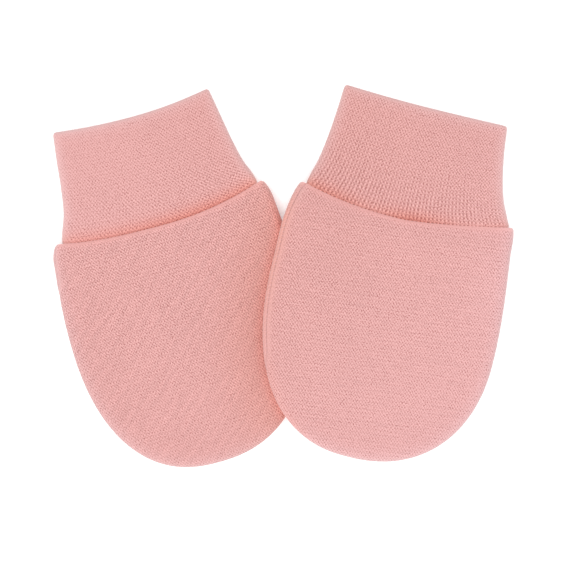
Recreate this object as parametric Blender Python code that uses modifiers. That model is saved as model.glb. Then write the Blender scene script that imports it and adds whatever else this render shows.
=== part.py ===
"""A pair of baby mittens laid flat, the right one lapping over the left one's edge.

Each mitten is cut and sewn from three pieces of cotton knit: a front and a back
hand panel, joined round the sides and the tip, and a folded rib cuff whose lower
end is tucked under the turned lip of the hand.

Every mitten is drawn in its own flat plan: u runs across the hand, v runs up
towards the cuff, and v is 0 at the wrist.  The plan is then turned and moved to
its place on the table.  Plan sizes are in millimetres and the objects in metres.
"""
import math
from collections import namedtuple

import bmesh
import bpy

MM = 0.001
COLLECTION = "baby_mittens"

# Cloth and seams
HAND_WALL = 1.3          # jersey of the hand, one panel
CUFF_WALL = 1.8          # rib folded double
TUCKED_WALL = 0.95       # the same rib pressed flat where it is sewn in
SEAM_GAP = 0.45          # between the two panels, across the seam, on the outside
CLEARANCE = 0.35         # between cloth and the cloth that it lies on

# Hand, along its length
LIP_DIP = -2.9           # v of the lip at the middle of the wrist
SPINE_END = -46.0        # v where the sections turn from rows into a fan
TIP = -84.1              # v of the tip
SHOULDER_POWER = 1.6     # roundness of the corner beside the wrist
EDGE_ROLL = 2.0          # radius of the rolled edge away from the wrist
DISH = 0.7               # how far the middle lies below the rolled edge
SEAM_BELOW = -15.0       # angle of the seam on the edge where it is rolled under
SEAM_EASE = 9.0          # length over which the seam climbs or drops

# One half of a hand's outline, all sizes from the plan's middle line.  The seam
# is rolled to seam_angle between the two places named for it, in degrees above
# the middle of the edge.
Side = namedtuple("Side", "lip_out lip_up lip_bend shoulder_out shoulder_down "
                          "widest_out widest_down squareness seam_angle seam_from seam_to")

# A section across the hand: depth below the lip, radius of the edge there, and
# the part of the dish that has formed.
HandRow = namedtuple("HandRow", "depth edge_roll dish")
HAND_ROWS = (
    HandRow(0.0, 2.70, 0.0),
    HandRow(0.6, 2.88, 0.0),
    HandRow(1.6, 2.96, 0.0),
    HandRow(3.2, 2.94, 0.0),
    HandRow(5.8, 2.84, 0.1),
    HandRow(9.0, 2.58, 0.3),
    HandRow(14.0, 2.24, 0.7),
    HandRow(20.0, 2.06, 1.0),
    HandRow(26.5, EDGE_ROLL, 1.0),
    HandRow(33.0, EDGE_ROLL, 1.0),
    HandRow(LIP_DIP - SPINE_END, EDGE_ROLL, 1.0),
)
LIP_FADE = 30.0          # depth below the lip where the sections have become straight
FAN_STEPS = 16           # sections round each half of the tip
# Facets round the rolled edge of one panel, as shares of its arc from the seam.
# The first is short, so that the wall's edge stands square to the arc.
ARC_SHARES = (0.0, 0.05, 0.30, 0.54, 0.77, 1.0)
# From the rolled edge (0) to the middle line (1): how far the dish has sunk.
CREASE_START = 0.2       # share of the way in at which creases have their full height
Ring = namedtuple("Ring", "reach sunk")
RINGS = (Ring(0.07, 0.15), Ring(0.17, 0.6), Ring(0.31, 0.95),
         Ring(0.50, 1.0), Ring(0.74, 0.9), Ring(1.0, 0.8))

# A row of the cuff: share of the way from the mouth to the lip, and the half
# widths there.
CuffRow = namedtuple("CuffRow", "share left right")
# The cuff's faces near the lip: distance above the lip, underside and upper side.
CuffStep = namedtuple("CuffStep", "above low high wall")
CUFF_HIGH = 4.0
CUFF_STEPS = (
    CuffStep(5.5, 0.0, CUFF_HIGH, CUFF_WALL),
    CuffStep(2.6, 0.75, 3.95, 1.45),
    CuffStep(0.5, 1.55, 3.80, TUCKED_WALL),
    CuffStep(-2.0, 1.65, 3.80, TUCKED_WALL),
    CuffStep(-5.5, 1.65, 3.75, TUCKED_WALL),
)
# The fold at the mouth: distance from the crest, and share of the wall crossed.
Fold = namedtuple("Fold", "back crossed")
MOUTH_FOLD = (Fold(1.5, 0.0), Fold(0.45, 0.14), Fold(0.0, 0.5),
              Fold(0.45, 0.86), Fold(1.5, 1.0))
BODY_SHARES = (0.25, 0.50, 0.75)   # plain rows between the mouth and the steps
CUFF_COLUMNS = 12        # facets across one face of the cuff
CUFF_EDGE_STEPS = 5      # facets round each side fold of the cuff

# A soft ridge or hollow pressed into the front panel, full size across its foot.
Crease = namedtuple("Crease", "u v turn length width height")

# A mitten's place and turn on the table, the u of its tip, its two sides, its cuff
# from mouth to lip, and v of the mouth at the left corner, middle and right corner.
Mitten = namedtuple("Mitten", "name x y turn tip_u left right cuff mouth creases colour")
LEFT = Mitten(
    name="left", x=-41.09, y=19.62, turn=15.2, tip_u=-2.5,
    left=Side(35.2, 0.2, 2.6, 38.1, 6.0, 39.8, 31.0, 2.36, 40.0, -3.0, -11.0),
    right=Side(35.9, 3.0, 2.1, 38.5, 5.0, 39.6, 25.0, 2.33, SEAM_BELOW, 0.0, 0.0),
    cuff=(CuffRow(0.0, 27.1, 26.9), CuffRow(0.25, 28.3, 28.4), CuffRow(0.5, 29.3, 29.9),
          CuffRow(0.75, 30.9, 31.9), CuffRow(0.92, 33.0, 34.0), CuffRow(1.0, 33.6, 34.5)),
    mouth=(36.5, 34.7, 37.3),
    creases=(Crease(-14.0, -20.0, -28.0, 26.0, 12.0, 0.30), Crease(12.0, -36.0, 38.0, 30.0, 13.0, -0.25),
             Crease(-8.0, -60.0, 12.0, 24.0, 13.0, 0.22)),
    colour=(0.80, 0.42, 0.39))
RIGHT = Mitten(
    name="right", x=40.58, y=21.62, turn=-14.0, tip_u=1.8,
    left=Side(35.5, 1.4, 2.3, 38.8, 14.0, 38.6, 26.0, 2.31, 66.0, 4.0, -56.0),
    right=Side(36.4, 3.3, 1.3, 37.8, 5.5, 40.9, 42.0, 2.23, SEAM_BELOW, 0.0, 0.0),
    cuff=(CuffRow(0.0, 29.5, 26.6), CuffRow(0.25, 30.0, 27.6), CuffRow(0.5, 30.8, 29.2),
          CuffRow(0.75, 32.1, 31.6), CuffRow(0.92, 33.6, 34.1), CuffRow(1.0, 34.0, 35.1)),
    mouth=(36.3, 35.4, 35.7),
    creases=(Crease(16.0, -22.0, 24.0, 28.0, 12.0, 0.28), Crease(-6.0, -42.0, -40.0, 30.0, 13.0, -0.22),
             Crease(9.0, -62.0, -8.0, 24.0, 13.0, 0.24)),
    colour=(0.84, 0.46, 0.44))

# The right mitten is lifted where it crosses the left one's edge.
LAP_HEIGHT = 2 * EDGE_ROLL + CLEARANCE
LAP_SHELF = 1.5          # stays up this far beyond the lower mitten's outline
LAP_RUN = 30.0           # then comes down over this length


def smooth(share):
    """Ease from 0 to 1 with level ends."""
    share = min(max(share, 0.0), 1.0)
    return share * share * (3.0 - 2.0 * share)


def half_width(side, v, tip_out):
    """Distance from the middle line to the outline at v; tip_out is the tip's own."""
    if v >= -side.shoulder_down:
        rise = (v + side.shoulder_down) / (side.lip_up + side.shoulder_down)
        round_off = (1.0 - min(rise, 1.0) ** SHOULDER_POWER) ** (1.0 / SHOULDER_POWER)
        return side.lip_out + (side.shoulder_out - side.lip_out) * round_off
    if v >= -side.widest_down:
        fall = (-v - side.shoulder_down) / (side.widest_down - side.shoulder_down)
        ease = math.sin(fall * math.pi / 2)
        return side.shoulder_out + (side.widest_out - side.shoulder_out) * ease
    reach = min((-v - side.widest_down) / (-TIP - side.widest_down), 1.0)
    round_off = (1.0 - reach ** side.squareness) ** (1.0 / side.squareness)
    return tip_out + (side.widest_out - tip_out) * round_off


def tip_point(side, angle, tip_out):
    """Point of the rounded tip; the angle runs from 0 at the side to 90 at the tip."""
    power = 2.0 / side.squareness
    out = tip_out + (side.widest_out - tip_out) * abs(math.cos(math.radians(angle))) ** power
    down = side.widest_down + (-TIP - side.widest_down) * math.sin(math.radians(angle)) ** power
    return out, -down


def fan_angles(side):
    """Angles of the sections round one half of the tip, the first just past the rows."""
    reach = (-SPINE_END - side.widest_down) / (-TIP - side.widest_down)
    start = math.degrees(math.asin(reach ** (side.squareness / 2.0)))
    return [start + (90.0 - start) * step / FAN_STEPS for step in range(1, FAN_STEPS + 1)]


def seam_angle(side, v):
    """Where the seam lies on the rolled edge, in degrees above its middle."""
    below = smooth((side.seam_from + SEAM_EASE - v) / SEAM_EASE)
    above = smooth((v - side.seam_to + SEAM_EASE) / SEAM_EASE)
    return SEAM_BELOW + (side.seam_angle - SEAM_BELOW) * below * above


def lip_height(mitten, u):
    """v of the lip at u."""
    side = mitten.left if u < 0 else mitten.right
    return LIP_DIP + (side.lip_up - LIP_DIP) * min(abs(u) / side.lip_out, 1.0) ** side.lip_bend


def crease_height(mitten, u, v):
    """Height that the creases add to the front panel at a place."""
    total = 0.0
    for crease in mitten.creases:
        turn = math.radians(crease.turn)
        along = math.cos(turn) * (u - crease.u) + math.sin(turn) * (v - crease.v)
        across = -math.sin(turn) * (u - crease.u) + math.cos(turn) * (v - crease.v)
        spread = (2 * along / crease.length) ** 2 + (2 * across / crease.width) ** 2
        total += crease.height * math.exp(-spread)
    return total


# A section of the hand runs from the outline to the middle line.
Section = namedtuple("Section", "edge_u edge_v end_u end_v lift_v bend edge_roll dish seam")


def hand_sections(mitten, sign):
    """Sections of one half of a hand, from the wrist to just before the tip."""
    side = mitten.left if sign < 0 else mitten.right
    tip_out = sign * mitten.tip_u
    sections = []
    for row in HAND_ROWS:
        middle = LIP_DIP - row.depth
        lift = (side.lip_up - LIP_DIP) * (1.0 - smooth(row.depth / LIP_FADE))
        edge_v = middle + lift
        sections.append(Section(sign * half_width(side, edge_v, tip_out), edge_v, 0.0, middle, lift,
                                side.lip_bend, row.edge_roll, row.dish, seam_angle(side, edge_v)))
    for angle in fan_angles(side):
        out, edge_v = tip_point(side, angle, tip_out)
        sections.append(Section(sign * out, edge_v, 0.0, SPINE_END, 0.0, 1.0,
                                EDGE_ROLL, 1.0, seam_angle(side, edge_v)))
    return sections


def section_place(section, inset):
    """Plan position at a distance in from the outline, along the section."""
    width = math.hypot(section.edge_u - section.end_u, section.edge_v - section.end_v)
    if section.lift_v or section.edge_v == section.end_v:
        share = max(1.0 - inset / abs(section.edge_u), 0.0)
        return section.edge_u * share, section.end_v + section.lift_v * share ** section.bend
    share = inset / width
    return (section.edge_u + (section.end_u - section.edge_u) * share,
            section.edge_v + (section.end_v - section.edge_v) * share)


def section_width(section):
    """Length of a section in plan."""
    if section.lift_v:
        return abs(section.edge_u)
    return math.hypot(section.edge_u - section.end_u, section.edge_v - section.end_v)


def panel_line(mitten, section, face):
    """Points of one section of a panel's outer face; face is 1 for front, -1 for back."""
    radius = section.edge_roll
    gap = math.degrees(math.asin(SEAM_GAP / 2 / radius))
    start = section.seam + face * gap
    points = []
    for share in ARC_SHARES:
        angle = math.radians(start + (90.0 * face - start) * share)
        u, v = section_place(section, radius * (1.0 - math.cos(angle)))
        points.append((u, v, radius * (1.0 + math.sin(angle))))
    width = section_width(section)
    for ring in RINGS:
        u, v = section_place(section, radius + (width - radius) * ring.reach)
        if face < 0:
            points.append((u, v, 0.0))
            continue
        top = 2.0 * radius - DISH * section.dish * ring.sunk
        shown = section.dish * smooth(ring.reach / CREASE_START)
        points.append((u, v, top + crease_height(mitten, u, v) * shown))
    return points


def to_table(mitten, u, v):
    """Table position of a place in a mitten's plan."""
    turn = math.radians(mitten.turn)
    return (mitten.x + math.cos(turn) * u - math.sin(turn) * v,
            mitten.y + math.sin(turn) * u + math.cos(turn) * v)


def outline(mitten):
    """Outline of the hand on the table, from one end of the lip round to the other."""
    left, right = [[(section.edge_u, section.edge_v) for section in hand_sections(mitten, sign)]
                   for sign in (-1, 1)]
    return [to_table(mitten, u, v) for u, v in left + right[::-1]]


def distance_outside(polygon, x, y):
    """Distance from a point to a closed outline, or 0 inside it."""
    nearest, inside = math.inf, False
    for (ax, ay), (bx, by) in zip(polygon, polygon[1:] + polygon[:1]):
        along_x, along_y = bx - ax, by - ay
        length = along_x ** 2 + along_y ** 2
        share = 0.0
        if length:
            share = min(max(((x - ax) * along_x + (y - ay) * along_y) / length, 0.0), 1.0)
        nearest = min(nearest, math.hypot(x - ax - share * along_x, y - ay - share * along_y))
        if (ay > y) != (by > y) and x < ax + (y - ay) / (by - ay) * along_x:
            inside = not inside
    return 0.0 if inside else nearest


def lap_lift(polygon, x, y):
    """Height by which cloth is raised at a place where it crosses the outline."""
    away = distance_outside(polygon, x, y) - LAP_SHELF
    return LAP_HEIGHT * (1.0 - smooth(away / LAP_RUN))


def place(mitten, point, crossed):
    """Table position, in metres, of a point in a mitten's plan."""
    x, y = to_table(mitten, point[0], point[1])
    z = point[2] + (lap_lift(crossed, x, y) if crossed else 0.0)
    return x * MM, y * MM, z * MM


def cloth_material(name, colour):
    """Cotton knit of one colour."""
    material = bpy.data.materials.new(name)
    material.use_nodes = True
    shader = material.node_tree.nodes["Principled BSDF"]
    shader.inputs["Base Color"].default_value = (*colour, 1.0)
    shader.inputs["Roughness"].default_value = 0.9
    shader.inputs["Metallic"].default_value = 0.0
    return material


def add_object(collection, name, mesh, colour):
    """Put a mesh in the collection with its own material."""
    mesh.materials.append(cloth_material(name + "_cloth", colour))
    mesh.shade_smooth()
    mesh.set_sharp_from_angle(angle=math.radians(50.0))
    made = bpy.data.objects.new(name, mesh)
    collection.objects.link(made)
    return made


def grid_mesh(name, rows, closed=False):
    """Mesh of quads through rows of points; closed joins the ends both ways."""
    shape = bmesh.new()
    grid = [[shape.verts.new(point) for point in row] for row in rows]
    row_pairs = list(zip(grid, grid[1:] + (grid[:1] if closed else [])))
    for near, far in row_pairs:
        for i in range(len(near) if closed else len(near) - 1):
            j = (i + 1) % len(near)
            shape.faces.new((near[i], near[j], far[j], far[i]))
    bmesh.ops.remove_doubles(shape, verts=shape.verts, dist=1e-7)
    mesh = bpy.data.meshes.new(name)
    shape.to_mesh(mesh)
    shape.free()
    return mesh


def hand_panel(collection, mitten, face, crossed):
    """Front or back panel of a hand: a shell inward from its outer face."""
    lines = [panel_line(mitten, section, face) for section in hand_sections(mitten, -1)]
    lines += [panel_line(mitten, section, face) for section in hand_sections(mitten, 1)][-2::-1]
    if face > 0:
        lines.reverse()
    rows = [[place(mitten, point, crossed) for point in line] for line in lines]
    name = "%s_hand_%s" % (mitten.name, "front" if face > 0 else "back")
    made = add_object(collection, name, grid_mesh(name, rows), mitten.colour)
    wall = made.modifiers.new("wall", "SOLIDIFY")
    wall.thickness = HAND_WALL * MM
    wall.offset = -1.0
    wall.use_even_offset = True
    wall.use_quality_normals = True
    return made


def cuff_loop(left, right, low, high, inset):
    """Closed flat loop round the cuff, as (u, z), a given depth inside its outer face."""
    radius = (high - low) / 2 - inset
    middle = (high + low) / 2
    reach = (high - low) / 2
    start, end = -left + reach, right - reach
    loop = []
    for column in range(CUFF_COLUMNS):
        loop.append((start + (end - start) * column / CUFF_COLUMNS, middle + radius))
    for step in range(CUFF_EDGE_STEPS):
        angle = math.radians(90.0 - 180.0 * step / CUFF_EDGE_STEPS)
        loop.append((end + radius * math.cos(angle), middle + radius * math.sin(angle)))
    for column in range(CUFF_COLUMNS):
        loop.append((end + (start - end) * column / CUFF_COLUMNS, middle - radius))
    for step in range(CUFF_EDGE_STEPS):
        angle = math.radians(-90.0 - 180.0 * step / CUFF_EDGE_STEPS)
        loop.append((start + radius * math.cos(angle), middle + radius * math.sin(angle)))
    return loop


def cuff_widths(mitten, share):
    """Half widths of the cuff at a share of the way from mouth to lip."""
    rows = mitten.cuff
    share = min(share, rows[-1].share)
    for near, far in zip(rows, rows[1:]):
        if share <= far.share:
            part = (share - near.share) / (far.share - near.share)
            return (near.left + (far.left - near.left) * part,
                    near.right + (far.right - near.right) * part)
    return rows[-1].left, rows[-1].right


def mouth_height(mitten, u):
    """v of the cuff's mouth at u."""
    left_end, middle, right_end = mitten.mouth
    width = mitten.cuff[0].left if u < 0 else mitten.cuff[0].right
    end = left_end if u < 0 else right_end
    return middle + (end - middle) * (u / width) ** 2


def cuff_row(mitten, share, above, low, high, inset, crossed):
    """One closed row of the cuff; above replaces share where it is given."""
    length = mitten.mouth[1] - LIP_DIP
    at = 1.0 - above / length if above is not None else share
    left, right = cuff_widths(mitten, max(at, 0.0))
    row = []
    for u, z in cuff_loop(left, right, low, high, inset):
        lip, mouth = lip_height(mitten, u), mouth_height(mitten, u)
        v = lip + above if above is not None else mouth + (lip - mouth) * share
        row.append(place(mitten, (u, v, z), crossed))
    return row


def cuff(collection, mitten, crossed):
    """Folded rib cuff: out along its face, over the fold at the mouth and back inside."""
    length = mitten.mouth[1] - LIP_DIP
    rows = []
    for step in reversed(CUFF_STEPS):
        rows.append(cuff_row(mitten, None, step.above, step.low, step.high, 0.0, crossed))
    for share in reversed(BODY_SHARES):
        rows.append(cuff_row(mitten, share, None, 0.0, CUFF_HIGH, 0.0, crossed))
    for fold in MOUTH_FOLD:
        rows.append(cuff_row(mitten, fold.back / length, None, 0.0, CUFF_HIGH,
                             fold.crossed * CUFF_WALL, crossed))
    for share in BODY_SHARES:
        rows.append(cuff_row(mitten, share, None, 0.0, CUFF_HIGH, CUFF_WALL, crossed))
    for step in CUFF_STEPS:
        rows.append(cuff_row(mitten, None, step.above, step.low, step.high, step.wall, crossed))
    name = mitten.name + "_cuff"
    return add_object(collection, name, grid_mesh(name, rows, closed=True), mitten.colour)


def main():
    for old in list(bpy.data.objects):
        bpy.data.objects.remove(old, do_unlink=True)
    collection = bpy.data.collections.new(COLLECTION)
    bpy.context.scene.collection.children.link(collection)
    under = outline(LEFT)
    for mitten, crossed in ((LEFT, None), (RIGHT, under)):
        hand_panel(collection, mitten, 1, crossed)
        hand_panel(collection, mitten, -1, crossed)
        cuff(collection, mitten, crossed)


main()
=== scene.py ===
"""Looks of a pair of baby mittens laid flat, the right one lapping over the left one's edge.

Run as a script, this add-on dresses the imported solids: jersey hand panels, folded rib
cuffs, the thread that closes the seams, and a pale table under soft light.  Every
mitten is drawn in its own flat plan, as its solids are: u runs across the hand, v runs
up towards the cuff, and v is 0 at the wrist.  Plan sizes are in millimetres.
"""
import math
from collections import namedtuple

import bmesh
import bpy
import numpy as np
from bpy.props import FloatProperty, FloatVectorProperty, IntProperty, PointerProperty
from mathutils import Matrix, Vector


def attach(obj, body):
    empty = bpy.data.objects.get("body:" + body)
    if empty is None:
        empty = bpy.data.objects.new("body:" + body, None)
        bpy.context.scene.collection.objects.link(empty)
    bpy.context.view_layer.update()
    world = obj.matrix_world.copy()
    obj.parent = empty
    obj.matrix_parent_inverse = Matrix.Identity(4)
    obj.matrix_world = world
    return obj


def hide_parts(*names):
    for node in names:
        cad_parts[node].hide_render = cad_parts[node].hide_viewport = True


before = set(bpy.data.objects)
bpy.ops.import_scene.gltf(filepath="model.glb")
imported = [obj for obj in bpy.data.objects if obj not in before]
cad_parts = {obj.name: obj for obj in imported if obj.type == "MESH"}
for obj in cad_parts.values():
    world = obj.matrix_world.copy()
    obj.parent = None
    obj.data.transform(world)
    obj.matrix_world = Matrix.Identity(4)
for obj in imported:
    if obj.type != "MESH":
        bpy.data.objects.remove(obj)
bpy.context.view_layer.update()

bl_info = {
    "name": "Baby Mittens",
    "version": (1, 0, 0),
    "blender": (4, 5, 0),
    "location": "3D View > Sidebar > Mittens",
    "description": "Dresses a pair of baby mittens in knitted cotton and sets a plain stage",
    "category": "Object",
}

MM = 0.001
TABLE_NAME = "table_top"
TABLE_DROP = 0.0001      # keeps the table clear of the cloth that lies on it
TABLE_EDGE = 0.03        # turned down round the table
TABLE_UNEVEN = 0.985     # how pale its darker places are
VIEW_MIDDLE = Vector((0.00124, -0.00355, 0.004))

# Cloth and seams, as in the solids
EDGE_ROLL = 2.0          # radius of the rolled edge away from the wrist
LIP_SWELL = 0.62         # how much larger it is at the wrist
LIP_SWELL_RUN = 20.0     # depth over which the swelling goes down
DISH = 0.7               # how far the middle lies below the rolled edge
DISH_FROM = 3.0          # depth below the lip where the dish starts to form
DISH_RUN = 17.0          # and the length over which it forms
DISH_REACH = 0.34        # share of the way in at which it has sunk
DISH_RISE = 0.2          # part of it that is lost again towards the middle line
DISH_RISE_FROM = 0.45    # share of the way in where that starts
CLEARANCE = 0.35         # between cloth and the cloth that it lies on
LIP_DIP = -2.9           # v of the lip at the middle of the wrist
LIP_FADE = 30.0          # depth below the lip where the sections have become straight
SPINE_END = -46.0        # v where the sections turn from rows into a fan
TIP = -84.1              # v of the tip
SHOULDER_POWER = 1.6     # roundness of the corner beside the wrist
SEAM_BELOW = -15.0       # angle of the seam on the edge where it is rolled under
SEAM_EASE = 9.0          # length over which the seam climbs or drops

# The lip is turned in: its fold, and how far it then drops towards the cuff
LIP_FOLD = 1.0
LIP_DROP = 0.85
LIP_SIDE = 0.55          # part of the fold and drop that also draws the side edges in
LIP_REST = 3.95          # the lip is pressed down no further than this, on the cuff
LIP_CLOTH = 0.6          # part of the fold and drop that the knit goes on by

# Grooved seam between the panels
SEAM_GAP = 0.12
GROOVE_DEPTH = 0.13
GROOVE_WIDTH = 0.42
RIDGE_HEIGHT = 0.10      # made by the seam allowance that lies inside the panels
RIDGE_AT = 1.25
RIDGE_WIDTH = 0.55
PULL = 0.3               # how much the ridge changes with the uneven pull of the stitches
PULL_SLANT = 0.6         # how far that pull runs on across the hand
PULL_WAVES = ((0.5, 0.86, 1.1), (0.3, 1.53, 0.4), (0.2, 2.33, 2.0))  # share, turn a millimetre, start

# A panel's first creases are broad, and the rest are puckers under the lip.  They and the
# lip's own creases have their full height from these shares of the way in.
BROAD_CREASES = 3
BROAD_REACH = 0.2
PUCKER_REACH = 0.1
LIP_CREASE_REACH = 0.12
PUCKER_RUN = 5.0         # depth over which the puckers form

# How smooth the knit is drawn at the lip, the seam, the cuff's mouth and its side folds,
# and the reach of that; these places are also painted paler, as a painted sheen
LIP_DRAWN_REACH = 0.9
SEAM_DRAWN, SEAM_DRAWN_REACH = 0.85, 1.5
MOUTH_DRAWN, MOUTH_DRAWN_REACH = 0.6, 1.0
SIDE_DRAWN, SIDE_DRAWN_REACH = 0.55, 2.0

# Fineness of the panels
LIP_STEPS = 6
NEAR_ROWS = 12
FAR_ROWS = 26
NEAR_DEPTH = 9.0
FAN_STEPS = 42
LINE_STEPS = 76
LINE_GROWTH = 1.05       # each step in from the seam is this much longer than the last

# Sewing thread
THREAD_DEPTH = 0.75      # how far down the groove it lies
STITCH_BOW = 0.35        # height of a stitch's bow, for its length
LEAST_SLANT = 0.6        # part of the slant that every stitch has

# Folded rib cuff
CUFF_HIGH = 4.0
CUFF_WALL = 1.8
TUCKED_WALL = 0.95
TUCKED_LOW = 1.65
TUCKED_HIGH = 3.80
TUCK_RUN = 5.5           # the cuff is pressed flat over this length above the lip
TUCK_DEPTH = 5.5         # and goes this far below it
MOUTH_FOLD = 1.3
CUFF_LENGTH = 38.0       # the tuck and the mouth's fold are shares of this
CREASE_FROM = 2.0        # the cuff's creases start this far in from its side folds
CREASE_RUN = 6.0         # and have their full height after this length
NECK = 0.86              # share of the way up from which the rows are closer
EDGE_WALES = 5           # knit columns round each side fold
FACE_STEPS = 312
EDGE_STEPS = 30
TUCK_ROWS = 4
NECK_ROWS = 8
OUTER_ROWS = 24
INNER_ROWS = 12
FOLD_STEPS = 12
FOLD_RUN = 0.4           # knit from one row to the next, round the fold and inside
FRONT_FACING = 0.5       # sine of the angle out above which a place counts as the front

# Height of the rib columns: as it is at the mouth and never below the least, full from a
# share of the way up, less where the cloth is drawn, inside, and under the lip
RIB_ROUNDNESS = 0.8
RIB_AT_MOUTH = 0.14
RIB_LEAST = 0.1
RIB_FULL = 0.95
RIB_LOST_DRAWN = 0.7
RIB_LOST_INSIDE = 0.6
RIB_TUCKED = 0.3         # part that is left under the lip
RIB_TUCK_FROM, RIB_TUCK_RUN = -2.0, 3.0      # grows to the whole from here above the lip

# A knit's pattern: how far a leg of a stitch climbs, the share that is loop heads set in
# quincunx, the part of the stronger diagonal in them, how dark the line between two
# columns is, and how far the gaps take the gap colour
Knit = namedtuple("Knit", "slant check twist wale_line contrast")
JERSEY = Knit(slant=0.4, check=0.76, twist=0.64, wale_line=0.3, contrast=0.6)
RIB = Knit(slant=0.45, check=0.78, twist=0.6, wale_line=0.55, contrast=0.66)

# Unevenness of both knits; sizes are in stitches, and scales are for a metre
SWAY, SWAY_SCALE = 0.5, 420.0                # how far stitches stray
LINT_CELLS = (3.1, 4.05, 1.0)                # specks of lint to a stitch, across and along
LINT, LINT_MIDDLE = 1.75, 0.78
DRAWN_CALM = 0.75        # part of the contrast that is lost where the knit is drawn smooth
DRAWN_SHEEN = 0.5         # part of the worn colour, paler as a painted sheen, that shows there
UNEVEN, PATCH_SCALE = 0.3, 330.0             # how much contrast varies, one by one and in patches
GAP_CURVE, GAP_MIDDLE = 0.35, -0.045         # gaps are deeper than stitches are high
FEW_DARK, DARK, UNDARK = 5.0, -0.035, 1.006  # a few stitches are darker
CLOUD, CLOUD_SCALE = 0.045, 85.0             # how much large areas vary in tone
STREAK_BEND = 0.9        # how far the streaks wander, in pitches
STREAK_PATCH, STREAK_LEAST = 1.4, 0.1        # their strength varies from the least by this
FINE_STREAKS, FINE_SCALE = 0.8, 2.6          # and finer ones lie over them
FADE_RUN = 40.0          # a Fade's across and along are for this length

# One half of a hand's outline, all sizes from the plan's middle line
Side = namedtuple("Side", "lip_out lip_up lip_bend shoulder_out shoulder_down "
                          "widest_out widest_down squareness seam_angle seam_from seam_to")
# A soft ridge in a piece, or a trough if its height is negative; patches of a look, such as
# the painted shadow, the painted light and the rib heights, have the same form
Crease = namedtuple("Crease", "u v turn length width height")
# How much stronger a look is, in all, to the right across a piece and up it to the cuff; as tone it is a
# painted gradient of light
Fade = namedtuple("Fade", "level across along")
# Faint streaks in a jersey: turn from the rows of stitches, pitch, length and strength
Streaks = namedtuple("Streaks", "turn pitch length strength")
# Share of the way from the mouth to the lip, and the half widths there
CuffRow = namedtuple("CuffRow", "share left right")
# A mitten's plan is placed and turned on the table.  Its knit is turned by the grain and
# widened by the stretch, columns is how far the lines between its wales show, lean how far
# the cuff's columns lean, and tip_u where the tip is.  The mouth has v at its left end,
# middle and right end.  The cuff's front has so many wales, spread unevenly, whose ribs
# stand up towards the lip.
# The lip's shades are painted shadow on the cuff, the hand's shades a painted patch of light, and the fades
# of tone painted gradients of light
Mitten = namedtuple("Mitten", "name x y turn grain stretch columns lean tip_u left right cuff mouth "
                              "front_creases back_creases lip_creases cuff_creases "
                              "lip_shades hand_shades hand_fade cuff_fade hand_firm cuff_firm "
                              "wales spread ribs rib_shades streaks")
LEFT = Mitten(
    name="left", x=-41.09, y=19.62, turn=15.2, grain=0.0, stretch=1.0, columns=0.8, lean=-0.108, tip_u=-2.5,
    left=Side(35.2, 0.2, 2.6, 38.1, 6.0, 39.8, 31.0, 2.36, 40.0, -3.0, -11.0),
    right=Side(35.9, 3.0, 2.1, 38.5, 5.0, 39.6, 25.0, 2.33, SEAM_BELOW, 0.0, 0.0),
    cuff=(CuffRow(0.0, 27.1, 26.9), CuffRow(0.25, 28.3, 28.4), CuffRow(0.5, 29.3, 29.9),
          CuffRow(0.75, 30.9, 31.9), CuffRow(0.92, 33.0, 34.0), CuffRow(1.0, 33.6, 34.5)),
    mouth=(36.5, 34.7, 37.3),
    front_creases=(
        Crease(-14.0, -20.0, -28.0, 26.0, 12.0, 0.30), Crease(12.0, -36.0, 38.0, 30.0, 13.0, -0.25),
        Crease(-8.0, -60.0, 12.0, 24.0, 13.0, 0.22), Crease(-27.0, -14.0, 78.0, 17.0, 3.4, -0.26),
        Crease(-21.5, -13.0, 84.0, 14.0, 3.0, -0.22), Crease(-15.5, -15.0, 80.0, 18.0, 3.6, -0.20),
        Crease(19.0, -13.0, 112.0, 16.0, 4.2, -0.22), Crease(3.0, -14.5, 96.0, 12.0, 4.0, -0.08)),
    back_creases=(
        Crease(-9.0, -24.0, 24.0, 30.0, 9.0, 0.42), Crease(14.0, -43.0, -34.0, 26.0, 8.0, 0.36),
        Crease(-6.0, -64.0, -12.0, 22.0, 7.0, 0.30), Crease(20.0, -15.0, 84.0, 15.0, 4.0, 0.22)),
    lip_creases=(Crease(-28.0, -1.0, 0.0, 36.0, 16.0, -0.4),),
    lip_shades=(Crease(11.0, 0.0, 0.0, 32.0, 99.0, 0.75), Crease(-22.0, 0.0, 0.0, 30.0, 99.0, 0.5)),
    hand_shades=(), hand_fade=Fade(-0.005, -0.008, -0.003), cuff_fade=Fade(0.004, -0.036, 0.0),
    hand_firm=Fade(-0.01, 0.1, 0.24), cuff_firm=Fade(-0.18, 0.24, -0.3),
    wales=52, spread=-0.05, ribs=0.3, rib_shades=(), streaks=Streaks(43.0, 3.5, 12.0, 0.062),
    cuff_creases=(
        Crease(-12.0, 20.0, 88.0, 26.0, 5.0, -0.12), Crease(6.0, 15.0, 96.0, 20.0, 6.0, 0.10),
        Crease(17.0, 24.0, 80.0, 18.0, 5.0, -0.10)))
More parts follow.
